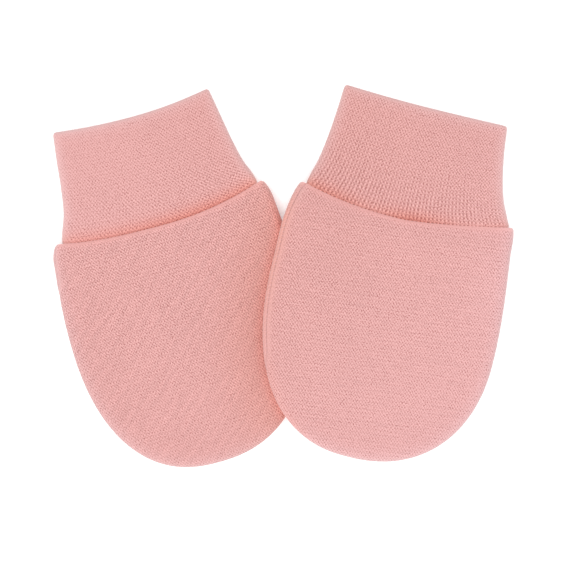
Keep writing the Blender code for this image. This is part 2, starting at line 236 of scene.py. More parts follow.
RIGHT = Mitten(
    name="right", x=40.58, y=21.62, turn=-14.0, grain=6.5, stretch=1.035, columns=0.3, lean=-0.05, tip_u=1.8,
    left=Side(35.5, 1.4, 2.3, 38.8, 14.0, 38.6, 26.0, 2.31, 66.0, 4.0, -56.0),
    right=Side(36.4, 3.3, 1.3, 37.8, 5.5, 40.9, 42.0, 2.23, SEAM_BELOW, 0.0, 0.0),
    cuff=(CuffRow(0.0, 29.5, 26.6), CuffRow(0.25, 30.0, 27.6), CuffRow(0.5, 30.8, 29.2),
          CuffRow(0.75, 32.1, 31.6), CuffRow(0.92, 33.6, 34.1), CuffRow(1.0, 34.0, 35.1)),
    mouth=(36.3, 35.4, 35.7),
    front_creases=(
        Crease(16.0, -22.0, 24.0, 28.0, 12.0, 0.28), Crease(-6.0, -42.0, -40.0, 30.0, 13.0, -0.22),
        Crease(9.0, -62.0, -8.0, 24.0, 13.0, 0.24), Crease(-25.0, -15.0, 74.0, 18.0, 4.4, -0.13),
        Crease(-11.0, -13.0, 84.0, 13.0, 4.0, -0.10), Crease(22.0, -14.0, 104.0, 17.0, 3.8, -0.12)),
    back_creases=(
        Crease(12.0, -22.0, -30.0, 28.0, 9.0, 0.40), Crease(-13.0, -45.0, 28.0, 27.0, 8.0, 0.34),
        Crease(5.0, -66.0, 8.0, 24.0, 7.0, 0.28), Crease(-19.0, -14.0, 98.0, 14.0, 4.0, 0.20)),
    lip_creases=(Crease(-11.0, -2.5, 0.0, 16.0, 16.0, -0.5), Crease(25.0, 1.0, 0.0, 30.0, 16.0, -0.85)),
    lip_shades=(Crease(3.5, -2.5, 0.0, 14.0, 99.0, 0.9),),
    hand_shades=(Crease(36.0, -14.0, 90.0, 40.0, 16.0, 0.045),),
    hand_fade=Fade(0.03, 0.04, -0.024), cuff_fade=Fade(-0.018, 0.045, 0.004),
    hand_firm=Fade(-0.08, -0.12, 0.12), cuff_firm=Fade(0.03, 0.06, -0.22),
    wales=50, spread=0.05, ribs=1.1, streaks=Streaks(-1.0, 2.1, 9.0, 0.036),
    rib_shades=(Crease(-23.0, 18.0, 90.0, 36.0, 28.0, 0.42), Crease(27.0, 12.0, 90.0, 24.0, 20.0, -0.45)),
    cuff_creases=(
        Crease(-9.0, 17.0, 92.0, 24.0, 6.0, -0.10), Crease(11.0, 22.0, 84.0, 20.0, 5.0, 0.10)))

# The right mitten is lifted where it crosses the left one's edge.
LAP_HEIGHT = 2 * EDGE_ROLL + CLEARANCE
LAP_SHELF = 1.5          # stays up this far beyond the lower mitten's outline
LAP_RUN = 30.0           # then comes down over this length

# Painted light and shade: cloth under the lip and beside the other mitten gets painted shadow and painted
# bounce light, and cloth at an edge a painted sheen.
# Each place has a tint, as factors on the cloth's colour, and the reach of that.
LIP_SHADOW_TINT, LIP_REACH = (1.05, 0.87, 0.79), 3.2                  # painted shadow of the lip on the cuff below it
LIP_DEEP_SHADOW_TINT = (0.95, 0.85, 0.82)                             # and more painted shadow, in places
LIP_CONTACT_LIGHT_TINT, LIP_CONTACT_REACH = (1.09, 1.06, 1.04), 0.9  # painted light where the lip touches it
LIP_HIGHLIGHT_TINT, LIP_EDGE_REACH = (1.12, 1.05, 1.03), 1.1        # painted highlight on the hand's own turned lip
LAP_SHADOW_TINT, LAP_REACH = (0.995, 0.91, 0.85), 13.0                # painted shadow on the lower mitten, at the overlap
LAP_CONTACT_LIGHT_TINT, LAP_CONTACT_REACH = (1.18, 1.07, 1.03), 2.2  # and painted light where the other touches it
GAP_BOUNCE_TINT, GAP_REACH = (1.24, 1.1, 1.07), 2.6                   # painted bounce light on its edge that faces the other
OVER_LIGHT_TINT, OVER_REACH = (1.06, 0.98, 0.89), 2.5                # painted warm light on the upper mitten's edge, over it
EDGE_SHEEN_TINT, EDGE_REACH = (1.0, 1.08, 1.105), 3.0                # painted sheen on the outer edges of the hands
CUFF_EDGE_SHEEN_TINT, CUFF_EDGE_REACH = (1.02, 1.12, 1.14), 2.6      # painted sheen on the mouth and side folds
RIM_SHEEN_TINT, RIM_REACH = (0.91, 1.0, 1.0), 0.6                    # painted sheen on the outermost rim of all of them
GAP_DOWN, OVER_DOWN = 24.0, 55.0     # these two fade over this depth below the lip
EDGE_CLEAR = 9.0         # an edge this near the other mitten gets hardly any painted sheen
TONE_POWERS = (0.6, 1.15, 1.5)       # red changes least as painted light makes cloth paler


# ---------------------------------------------------------------- plan of a mitten

def smooth(share):
    """Ease from 0 to 1 with level ends."""
    share = np.clip(share, 0.0, 1.0)
    return share * share * (3.0 - 2.0 * share)


def near(distance, reach):
    """Share of an effect that is left at a distance."""
    return np.exp(-(np.maximum(distance, 0.0) / reach) ** 2)


def half_width(side, v, tip_out):
    """Distance from the middle line to the outline at v; tip_out is the tip's own."""
    if v >= -side.shoulder_down:
        rise = min((v + side.shoulder_down) / (side.lip_up + side.shoulder_down), 1.0)
        round_off = (1.0 - rise ** SHOULDER_POWER) ** (1.0 / SHOULDER_POWER)
        return side.lip_out + (side.shoulder_out - side.lip_out) * round_off
    if v >= -side.widest_down:
        fall = (-v - side.shoulder_down) / (side.widest_down - side.shoulder_down)
        ease = math.sin(fall * math.pi / 2)
        return side.shoulder_out + (side.widest_out - side.shoulder_out) * ease
    reach = min((-v - side.widest_down) / (-TIP - side.widest_down), 1.0)
    round_off = (1.0 - reach ** side.squareness) ** (1.0 / side.squareness)
    return tip_out + (side.widest_out - tip_out) * round_off


def tip_point(side, angle, tip_out):
    """Point of the rounded tip; the angle runs from 0 at the side to 90 at the tip."""
    power = 2.0 / side.squareness
    out = tip_out + (side.widest_out - tip_out) * abs(math.cos(math.radians(angle))) ** power
    down = side.widest_down + (-TIP - side.widest_down) * math.sin(math.radians(angle)) ** power
    return out, -down


def fan_angles(side):
    """Angles of the sections round one half of the tip, the first just past the rows."""
    reach = (-SPINE_END - side.widest_down) / (-TIP - side.widest_down)
    start = math.degrees(math.asin(reach ** (side.squareness / 2.0)))
    return [start + (90.0 - start) * step / FAN_STEPS for step in range(1, FAN_STEPS + 1)]


def seam_angle(side, v):
    """Where the seam lies on the rolled edge, in degrees above its middle."""
    below = smooth((side.seam_from + SEAM_EASE - v) / SEAM_EASE)
    above = smooth((v - side.seam_to + SEAM_EASE) / SEAM_EASE)
    return SEAM_BELOW + (side.seam_angle - SEAM_BELOW) * float(below * above)


def lip_height(mitten, u):
    """v of the lip at u."""
    out = np.where(u < 0, mitten.left.lip_out, mitten.right.lip_out)
    up = np.where(u < 0, mitten.left.lip_up, mitten.right.lip_up)
    bend = np.where(u < 0, mitten.left.lip_bend, mitten.right.lip_bend)
    return LIP_DIP + (up - LIP_DIP) * np.minimum(np.abs(u) / out, 1.0) ** bend


def mouth_height(mitten, u):
    """v of the cuff's mouth at u."""
    left_end, middle, right_end = mitten.mouth
    width = np.where(u < 0, mitten.cuff[0].left, mitten.cuff[0].right)
    end = np.where(u < 0, left_end, right_end)
    return middle + (end - middle) * (u / width) ** 2


def along_and_across(turn, x, y):
    """A place measured along and across a direction; turn is in degrees."""
    turn = math.radians(turn)
    return (math.cos(turn) * x + math.sin(turn) * y,
            -math.sin(turn) * x + math.cos(turn) * y)


def crease_height(creases, u, v):
    """Height that creases add to cloth at a place."""
    total = np.zeros_like(u)
    for crease in creases:
        along, across = along_and_across(crease.turn, u - crease.u, v - crease.v)
        spread = (2 * along / crease.length) ** 2 + (2 * across / crease.width) ** 2
        total += crease.height * np.exp(-spread)
    return total


def to_table(mitten, u, v):
    """Table position of a place in a mitten's plan."""
    turn = math.radians(mitten.turn)
    return (mitten.x + math.cos(turn) * u - math.sin(turn) * v,
            mitten.y + math.sin(turn) * u + math.cos(turn) * v)


def distance_outside(outline, x, y):
    """Distance from places to a closed outline, or 0 inside it."""
    nearest = np.full(x.shape, np.inf)
    inside = np.zeros(x.shape, dtype=bool)
    for (ax, ay), (bx, by) in zip(outline, np.roll(outline, -1, axis=0)):
        along_x, along_y = bx - ax, by - ay
        length = max(along_x ** 2 + along_y ** 2, 1e-12)
        share = np.clip(((x - ax) * along_x + (y - ay) * along_y) / length, 0.0, 1.0)
        nearest = np.minimum(nearest, np.hypot(x - ax - share * along_x, y - ay - share * along_y))
        if ay != by:
            crosses = (ay > y) != (by > y)
            inside ^= crosses & (x < ax + (y - ay) / (by - ay) * along_x)
    return np.where(inside, 0.0, nearest)


def place(mitten, u, v, z, crossed):
    """Table places, in metres, of places in a mitten's plan."""
    x, y = to_table(mitten, u, v)
    if crossed is not None:
        away = distance_outside(crossed, x, y) - LAP_SHELF
        z = z + LAP_HEIGHT * (1.0 - smooth(away / LAP_RUN))
    return np.stack([x, y, z], axis=-1) * MM


# ---------------------------------------------------------------- hand panels

# A section of the hand runs from the outline to the middle line.  Squeeze is how far
# the turned lip has drawn it in.
Section = namedtuple("Section", "edge_u edge_v end_v lift_v bend roll dish seam squeeze depth")


def lip_rows():
    """Depth below the lip and squeeze of each row, from the hidden rim down the hand."""
    rows = [(0.0, LIP_FOLD + LIP_DROP), (0.0, LIP_FOLD + LIP_DROP / 2)]
    for step in range(LIP_STEPS, 0, -1):
        turn = math.radians(90.0 * step / LIP_STEPS)
        rows.append((LIP_FOLD * (1.0 - math.sin(turn)), LIP_FOLD * (1.0 - math.cos(turn))))
    rows += [(float(depth), 0.0) for depth in np.linspace(LIP_FOLD, NEAR_DEPTH, NEAR_ROWS)]
    far = np.linspace(NEAR_DEPTH, LIP_DIP - SPINE_END, FAR_ROWS + 1)[1:]
    return rows + [(float(depth), 0.0) for depth in far]


def hand_sections(mitten, sign):
    """Sections of one half of a hand, from the wrist to the tip."""
    side = mitten.left if sign < 0 else mitten.right
    tip_out = sign * mitten.tip_u
    sections = []
    for depth, squeeze in lip_rows():
        middle = LIP_DIP - depth
        lift = (side.lip_up - LIP_DIP) * float(1.0 - smooth(depth / LIP_FADE))
        roll = EDGE_ROLL + LIP_SWELL * float(1.0 - smooth((depth - LIP_FOLD) / LIP_SWELL_RUN))
        dish = float(smooth((depth - DISH_FROM) / DISH_RUN))
        edge_v = middle + lift
        sections.append(Section(sign * half_width(side, edge_v, tip_out), edge_v, middle, lift,
                                side.lip_bend, roll, dish, seam_angle(side, edge_v), squeeze, depth))
    for angle in fan_angles(side):
        out, edge_v = tip_point(side, angle, tip_out)
        sections.append(Section(sign * out, edge_v, SPINE_END, 0.0, 1.0, EDGE_ROLL, 1.0,
                                seam_angle(side, edge_v), 0.0, LIP_DIP - edge_v))
    return sections


def all_sections(mitten):
    """Sections of a whole hand, from one end of the wrist round the tip to the other."""
    return hand_sections(mitten, -1) + hand_sections(mitten, 1)[-2::-1]


def edge_sections(mitten):
    """The same without those of the turned lip."""
    return [section for section in all_sections(mitten) if not section.squeeze]


def section_place(section, inset):
    """Plan position at a distance in from the outline, along the section."""
    if section.lift_v or section.edge_v == section.end_v:
        share = 1.0 - inset / abs(section.edge_u)
        lift = section.lift_v * np.abs(share) ** section.bend
        return section.edge_u * share, section.end_v + lift
    share = inset / math.hypot(section.edge_u, section.edge_v - section.end_v)
    return (section.edge_u * (1.0 - share),
            section.edge_v + (section.end_v - section.edge_v) * share)


def section_width(section):
    """Length of a section in plan."""
    if section.lift_v:
        return abs(section.edge_u)
    return math.hypot(section.edge_u, section.edge_v - section.end_v)


def stitch_pull(along):
    """Uneven pull of the stitches along a seam, about -1 to 1; along is in millimetres."""
    return sum(share * math.sin(along * turn + start) for share, turn, start in PULL_WAVES)


def panel_line(mitten, section, face):
    """Outer face of one section of a panel, from the seam to the middle line.

    Returns plan places u and v, heights z, the cloth's own flat coordinates, how smooth
    the knit is drawn, and the distances in from the outline and down from the lip.  Face
    is 1 for the front and -1 for the back.
    """
    roll = section.roll
    width = section_width(section)
    seam = math.radians(section.seam)
    arc = roll * (math.pi / 2 - face * seam)
    steps = np.cumsum(np.concatenate([[0.0], LINE_GROWTH ** np.arange(LINE_STEPS)]))
    run = SEAM_GAP / 2 + (arc + width - roll - SEAM_GAP / 2) * steps / steps[-1]

    pull = 1.0 + PULL * stitch_pull(section.edge_v + PULL_SLANT * section.edge_u)
    groove = GROOVE_DEPTH * near(run, GROOVE_WIDTH)
    groove -= RIDGE_HEIGHT * pull * near(np.abs(run - RIDGE_AT), RIDGE_WIDTH)
    angle = seam + face * np.minimum(run, arc) / roll
    flat = np.maximum(run - arc, 0.0)
    inset = roll - (roll - section.squeeze * LIP_SIDE - groove) * np.cos(angle) + flat
    z = roll + (roll - section.squeeze - groove) * np.sin(angle)

    u, v = section_place(section, inset)
    reach = flat / (width - roll)
    creases = mitten.front_creases if face > 0 else mitten.back_creases
    broad = crease_height(creases[:BROAD_CREASES], u, v)
    puckers = crease_height(creases[BROAD_CREASES:], u, v)
    z = z + broad * section.dish * smooth(reach / BROAD_REACH)
    z = z + puckers * smooth((section.depth - LIP_FOLD) / PUCKER_RUN) * smooth(reach / PUCKER_REACH)
    if face > 0:
        risen = DISH_RISE * smooth((reach - DISH_RISE_FROM) / (1.0 - DISH_RISE_FROM))
        z = z - DISH * section.dish * smooth(reach / DISH_REACH) * (1.0 - risen)
        pressed = z + crease_height(mitten.lip_creases, u, v) * smooth(reach / LIP_CREASE_REACH)
        z = np.where(z > LIP_REST, np.maximum(pressed, LIP_REST), z)

    # Unrolled, the cloth goes on straight past the top of the rolled edge.
    cloth_u, cloth_v = section_place(section, roll - (arc - run))
    cloth_v = cloth_v + section.squeeze * LIP_CLOTH
    course, wale = along_and_across(mitten.grain, cloth_u, cloth_v)
    cloth = np.stack([course / mitten.stretch, wale], axis=-1)
    drawn = np.maximum(near(section.depth, LIP_DRAWN_REACH), SEAM_DRAWN * near(run, SEAM_DRAWN_REACH))
    return u, v, z, cloth, drawn, inset, np.full_like(run, section.depth)


def outline(mitten):
    """Outline of the hand on the table, from one end of the lip round to the other."""
    points = np.array([(section.edge_u, section.edge_v) for section in edge_sections(mitten)])
    return np.stack(to_table(mitten, points[:, 0], points[:, 1]), axis=-1)


def grid_mesh(name, places, cloth, points, closed=False):
    """Mesh of quads over a grid of places, with the knit's own map.

    Points holds named values or colours kept at each place.  A closed grid is joined both
    ways, and its map then has one row and one column more than its places.
    """
    rows, columns = places.shape[:2]
    row, column = np.meshgrid(np.arange(rows if closed else rows - 1),
                              np.arange(columns if closed else columns - 1), indexing="ij")
    corners = [(row, column), (row, column + 1), (row + 1, column + 1), (row + 1, column)]
    quads = np.stack([(r % rows) * columns + c % columns for r, c in corners], axis=-1).reshape(-1, 4)
    maps = np.stack([cloth[r, c] for r, c in corners], axis=-2).reshape(-1, 2)
    mesh = bpy.data.meshes.new(name)
    mesh.from_pydata(places.reshape(-1, 3).tolist(), [], quads.tolist())
    layer = mesh.uv_layers.new(name="cloth")
    layer.data.foreach_set("uv", maps.ravel())
    for key, values in points.items():
        kind, slot = ("FLOAT_COLOR", "color") if values.ndim == 3 else ("FLOAT", "value")
        attribute = mesh.attributes.new(key, kind, "POINT")
        attribute.data.foreach_set(slot, values.ravel())
    shape = bmesh.new()
    shape.from_mesh(mesh)
    bmesh.ops.remove_doubles(shape, verts=shape.verts, dist=1e-7)
    shape.to_mesh(mesh)
    shape.free()
    mesh.shade_smooth()
    return mesh


def add_object(name, data, material=None):
    """Put a mesh, a light or a camera in the scene under a name."""
    made = bpy.data.objects.new(name, data)
    bpy.context.scene.collection.objects.link(made)
    if material:
        data.materials.append(material)
    return made


def settle(made):
    """Turn an object with modifiers into the plain mesh that they make."""
    graph = bpy.context.evaluated_depsgraph_get()
    mesh = bpy.data.meshes.new_from_object(made.evaluated_get(graph))
    mesh.name = made.name
    made.modifiers.clear()
    made.data = mesh
    return made


def faded(fade, u, v):
    """Strength of a look at a place; v is taken from the piece's middle."""
    return 1.0 + fade.level + fade.across * u / FADE_RUN + fade.along * v / FADE_RUN


def painted_light_and_shade(light_tone, painted_tints):
    """Painted light and shade: factors on the cloth's colour at each place, from its painted tone and (tint,
    share) pairs.
    """
    channels = []
    for channel, power in enumerate(TONE_POWERS):
        factor = light_tone ** power
        for tint, share in painted_tints:
            factor = factor * (1.0 + (tint[channel] - 1.0) * share)
        channels.append(factor)
    return np.stack(channels + [np.ones_like(light_tone)], axis=-1)


def streak_map(streaks, cloth):
    """Places in a field of streaks of unit pitch and length, with their strength."""
    along, across = along_and_across(streaks.turn, cloth[..., 0], cloth[..., 1])
    return np.stack([along / streaks.length, across / streaks.pitch,
                     np.full(along.shape, streaks.strength), np.ones_like(along)], axis=-1)


def hand_panel(mitten, face, crossed, neighbour, sizes, material):
    """Front or back panel of a hand: a shell inward from its outer face.

    Neighbour is the outline of the other mitten, and crossed is the same if it lies below.
    """
    lines = [panel_line(mitten, section, face) for section in all_sections(mitten)]
    if face > 0:
        lines.reverse()
    u, v, z, cloth, drawn, inset, below = [np.stack(part) for part in zip(*lines)]
    name = "%s_hand_%s" % (mitten.name, "front" if face > 0 else "back")
    places = place(mitten, u, v, z, crossed)
    beside = distance_outside(neighbour, places[..., 0] / MM, places[..., 1] / MM)
    close = near(beside, EDGE_CLEAR)
    clear = 1.0 - close
    # Painted light and shade: sheen at the outer edges and rim, a highlight on the lip, and painted shadow
    # and bounce light where the other mitten lies
    painted_tints = [(EDGE_SHEEN_TINT, near(inset, EDGE_REACH) * clear), (RIM_SHEEN_TINT, near(inset, RIM_REACH) * clear),
             (LIP_HIGHLIGHT_TINT, near(below, LIP_EDGE_REACH))]
    if crossed is not None:
        painted_tints.append((OVER_LIGHT_TINT, close * near(inset, OVER_REACH) * near(below, OVER_DOWN)))
    else:
        facing = 1.0 if face > 0 else near(inset, GAP_REACH)
        painted_tints += [(LAP_SHADOW_TINT, near(beside, LAP_REACH) * facing),
                  (LAP_CONTACT_LIGHT_TINT, near(beside, LAP_CONTACT_REACH) * facing),
                  (GAP_BOUNCE_TINT, close * near(inset, GAP_REACH) * near(below, GAP_DOWN))]
    from_middle = v - (TIP + LIP_DIP) / 2
    # The tone is a painted gradient of light across the hand
    light_tone = faded(mitten.hand_fade, u, from_middle)
    if face > 0:
        # and the front has a painted patch of light
        light_tone = light_tone + crease_height(mitten.hand_shades, u, v)
    mesh = grid_mesh(name + "_jersey", places, cloth, {
        "drawn": drawn, "painted_light_and_shade": painted_light_and_shade(light_tone, painted_tints),
        "firm": faded(mitten.hand_firm, u, from_middle), "relief": np.full(u.shape, mitten.columns),
        "streak": streak_map(mitten.streaks, cloth)})
    made = add_object(name + "_jersey", mesh, material)
    shell = made.modifiers.new("wall", "SOLIDIFY")
    shell.thickness = sizes.hand_wall
    shell.offset = -1.0
    shell.use_even_offset = True
    shell.use_quality_normals = True
    return settle(made), name


# ---------------------------------------------------------------- cuffs

def cuff_widths(mitten, share):
    """Half widths of the cuff at a share of the way from mouth to lip, on a smooth curve."""
    shares = np.array([row.share for row in mitten.cuff])
    widths = np.array([(row.left, row.right) for row in mitten.cuff])
    slopes = np.gradient(widths, shares, axis=0)
    slopes[-1] = 0.0
    share = min(share, 1.0)
    start = min(int(np.searchsorted(shares, share, side="right")) - 1, len(shares) - 2)
    step = shares[start + 1] - shares[start]
    t = (share - shares[start]) / step
    return ((2 * t ** 3 - 3 * t ** 2 + 1) * widths[start] + (t ** 3 - 2 * t ** 2 + t) * step * slopes[start]
            + (3 * t ** 2 - 2 * t ** 3) * widths[start + 1] + (t ** 3 - t ** 2) * step * slopes[start + 1])


def cuff_loop(wales, spread):
    """Share of the way across, direction out, and wale number of each place round the cuff.

    Wales is the number of knit columns in one face, and spread how much wider than half way
    they are at the front's left end.
    """
    face = np.arange(FACE_STEPS) / FACE_STEPS
    edge = np.arange(EDGE_STEPS) / EDGE_STEPS
    across = np.concatenate([face, np.ones_like(edge), 1.0 - face, np.zeros_like(edge)])
    top, bottom = np.full(face.shape, 90.0), np.full(face.shape, -90.0)
    out = np.radians(np.concatenate([top, 90.0 - 180.0 * edge, bottom, -90.0 - 180.0 * edge]))
    front = face + spread * face * (face - 1.0)
    turned = wales + EDGE_WALES
    wale = np.concatenate([wales * front, wales + EDGE_WALES * edge,
                           turned + wales * face, turned + wales + EDGE_WALES * edge])
    return across, out, wale


def cuff_rows():
    """Rows of the cuff as (share from mouth to lip, share of the wall crossed)."""
    end = 1.0 + TUCK_DEPTH / CUFF_LENGTH
    mouth = MOUTH_FOLD / CUFF_LENGTH
    down = np.concatenate([np.linspace(end, 1.0, TUCK_ROWS)[:-1], np.linspace(1.0, NECK, NECK_ROWS)[:-1],
                           np.linspace(NECK, mouth, OUTER_ROWS)])
    rows = [(float(share), 0.0) for share in down]
    for step in range(1, FOLD_STEPS):
        turn = math.pi * step / FOLD_STEPS
        rows.append((mouth * (1.0 - math.sin(turn)), (1.0 - math.cos(turn)) / 2))
    return rows + [(float(share), 1.0) for share in np.linspace(mouth, end, INNER_ROWS)]


def cuff_row(mitten, share, crossing, above, across, out, front):
    """Plan places u and v, heights z, and distances in from the side folds, of one row."""
    press = float(1.0 - smooth(above / TUCK_RUN))
    low = TUCKED_LOW * press
    high = CUFF_HIGH - (CUFF_HIGH - TUCKED_HIGH) * press
    wall = CUFF_WALL - (CUFF_WALL - TUCKED_WALL) * press
    reach = (high - low) / 2
    radius = reach - wall * crossing
    left, right = cuff_widths(mitten, share)
    u = -left + reach + (left + right - 2 * reach) * across + radius * np.cos(out)
    v = mouth_height(mitten, u) + (lip_height(mitten, u) - mouth_height(mitten, u)) * share
    inner = (left + right) / 2 - np.abs(u - (right - left) / 2)
    z = (low + high) / 2 + radius * np.sin(out)
    creased = smooth(above / CREASE_RUN) * smooth((inner - CREASE_FROM) / CREASE_RUN) * front
    return u, v, z + crease_height(mitten.cuff_creases, u, v) * creased, inner


def cuff_relief(mitten, share, crossing, above, u, v, front, drawn):
    """Height of the rib columns in one row."""
    relief = RIB_AT_MOUTH + float(smooth(share / RIB_FULL) ** 3) * mitten.ribs
    relief = np.maximum(relief + crease_height(mitten.rib_shades, u, v) * front, RIB_LEAST)
    relief = relief * (1.0 - RIB_LOST_DRAWN * drawn) * (1.0 - RIB_LOST_INSIDE * (crossing > 0.0))
    risen = float(smooth((above - RIB_TUCK_FROM) / RIB_TUCK_RUN))
    return relief * (RIB_TUCKED + (1.0 - RIB_TUCKED) * risen)


def cuff_painted_tints(mitten, above, u, v, rim):
    """Painted shadow, painted light and painted sheen of one row, above the lip by a length and in from the
    cuff's rim by another.
    """
    stands = 1.0 + crease_height(mitten.lip_creases, u, lip_height(mitten, u))
    shade = crease_height(mitten.lip_shades, u, v)
    return [(LIP_SHADOW_TINT, stands * near(above, LIP_REACH)),
            (LIP_DEEP_SHADOW_TINT, shade * near(above, LIP_REACH)),
            (LIP_CONTACT_LIGHT_TINT, near(above, LIP_CONTACT_REACH)),
            (CUFF_EDGE_SHEEN_TINT, near(rim, CUFF_EDGE_REACH)),
            (RIM_SHEEN_TINT, near(rim, RIM_REACH))]


def cuff(mitten, crossed, sizes, material):
    """Folded rib cuff: down its outer face, over the fold at the mouth and back inside."""
    across, out, wale = cuff_loop(mitten.wales, mitten.spread)
    front = np.sin(out) > FRONT_FACING
    height = mitten.mouth[1] - LIP_DIP
    parts = []
    run = 0.0
    for share, crossing in cuff_rows():
        above = (1.0 - share) * height
        u, v, z, inner = cuff_row(mitten, share, crossing, above, across, out, front)
        run = above if crossing == 0.0 else run + FOLD_RUN
        fold = MOUTH_DRAWN * max(near(share * height, MOUTH_DRAWN_REACH), float(crossing > 0.0))
        drawn = np.maximum(fold, SIDE_DRAWN * near(inner, SIDE_DRAWN_REACH))
        relief = cuff_relief(mitten, share, crossing, above, u, v, front, drawn)
        # Painted light and shade: the lip's shadow on the cuff, light where the lip touches it, and sheen at
        # the folds
        painted_tints = cuff_painted_tints(mitten, above, u, v, np.minimum(inner, share * height))
        colours = painted_light_and_shade(faded(mitten.cuff_fade, u, v - height / 2), painted_tints)
        firm = faded(mitten.cuff_firm, u, v - height / 2)
        column = wale + mitten.lean * run
        ends = np.append(column, column[0] + 2 * (mitten.wales + EDGE_WALES))
        stitches = np.stack([ends, np.full(len(ends), run)], axis=-1)
        parts.append((u, v, z, stitches, drawn, relief, colours, firm, column))
    u, v, z, cloth, drawn, relief, colours, firm, column = [np.stack(part) for part in zip(*parts)]
    cloth = np.concatenate([cloth, cloth[:1]])
    places = place(mitten, u, v, z, crossed)
    name = mitten.name + "_cuff"
    mesh = grid_mesh(name + "_rib", places, cloth, {
        "drawn": drawn, "painted_light_and_shade": colours, "firm": firm, "relief": relief, "wale": column}, closed=True)
    made = add_object(name + "_rib", mesh, material)
    ribs = made.modifiers.new("ribs", "NODES")
    ribs.node_group = rib_tree()
    set_inputs(ribs, {"Rib Height": sizes.rib_height, "Cloth": material})
    return settle(made), name


# ---------------------------------------------------------------- node trees

def fill(node, inputs):
    """Fill a node's inputs, or link them where a socket is given, by name or number."""
    for key, value in inputs.items():
        if isinstance(value, bpy.types.NodeSocket):
            node.id_data.links.new(value, node.inputs[key])
        else:
            node.inputs[key].default_value = value


def add(tree, kind, inputs=None, **settings):
    """Add a node, change its settings and fill its inputs."""
    node = tree.nodes.new(kind)
    for key, value in settings.items():
        setattr(node, key, value)
    fill(node, inputs or {})
    return node


def calc(tree, operation, *values):
    """Output of a Math node over numbers and sockets."""
    return add(tree, "ShaderNodeMath", dict(enumerate(values)), operation=operation).outputs[0]


def vector(tree, operation, *values):
    """Output of a Vector Math node over vectors and sockets."""
    return add(tree, "ShaderNodeVectorMath", dict(enumerate(values)), operation=operation).outputs[0]


def scaled(tree, value, size):
    """A vector times a number."""
    return add(tree, "ShaderNodeVectorMath", {0: value, "Scale": size}, operation="SCALE").outputs[0]


def parts_of(tree, value):
    """X, Y and Z of a vector, or the three channels of a colour."""
    return add(tree, "ShaderNodeSeparateXYZ", {0: value}).outputs


def wave(tree, turns):
    """A wave from 0 to 1, highest where turns is a whole number."""
    swing = calc(tree, "COSINE", calc(tree, "MULTIPLY", turns, 2 * math.pi))
    return calc(tree, "MULTIPLY_ADD", swing, 0.5, 0.5)


def spread_about(tree, value, spread, middle):
    """A value from 0 to 1 made to vary by a spread about a middle."""
    return calc(tree, "MULTIPLY_ADD", value, spread, middle - spread / 2)


def new_tree(name, inputs):
    """Geometry node tree with a Geometry input and output and named inputs."""
    tree = bpy.data.node_groups.new(name, "GeometryNodeTree")
    face = tree.interface
    face.new_socket("Geometry", in_out="INPUT", socket_type="NodeSocketGeometry")
    for label, kind in inputs:
        face.new_socket(label, in_out="INPUT", socket_type="NodeSocket" + kind)
    face.new_socket("Geometry", in_out="OUTPUT", socket_type="NodeSocketGeometry")
    return tree, tree.nodes.new("NodeGroupInput").outputs


def finish_tree(tree, geometry, material):
    """End a tree in Realize Instances and Set Material."""
    real = add(tree, "GeometryNodeRealizeInstances", {"Geometry": geometry})
    dyed = add(tree, "GeometryNodeSetMaterial", {"Geometry": real.outputs[0], "Material": material})
    add(tree, "NodeGroupOutput", {0: dyed.outputs[0]})
    return tree


def set_inputs(modifier, values):
    """Set a node modifier's inputs by their sockets' identifiers."""
    sockets = {item.name: item.identifier for item in modifier.node_group.interface.items_tree
               if item.item_type == "SOCKET" and item.in_out == "INPUT"}
    for label, value in values.items():
        modifier[sockets[label]] = value


def named(tree, name, kind="FLOAT"):
    """A named attribute of the geometry."""
    return add(tree, "GeometryNodeInputNamedAttribute", {"Name": name}, data_type=kind).outputs[0]


def rib_tree():
    """Raises the knit columns of a cuff along its normals."""
    if "mitten_ribs" in bpy.data.node_groups:
        return bpy.data.node_groups["mitten_ribs"]
    tree, given = new_tree("mitten_ribs", [("Rib Height", "Float"), ("Cloth", "Material")])
    crest = calc(tree, "POWER", wave(tree, named(tree, "wale")), RIB_ROUNDNESS)
    height = calc(tree, "MULTIPLY", calc(tree, "SUBTRACT", crest, 1.0), given["Rib Height"])
    height = calc(tree, "MULTIPLY", height, named(tree, "relief"))
    normal = add(tree, "GeometryNodeInputNormal").outputs["Normal"]
    raised = add(tree, "GeometryNodeSetPosition",
                 {"Geometry": given["Geometry"], "Offset": scaled(tree, normal, height)})
    return finish_tree(tree, raised.outputs[0], given["Cloth"])


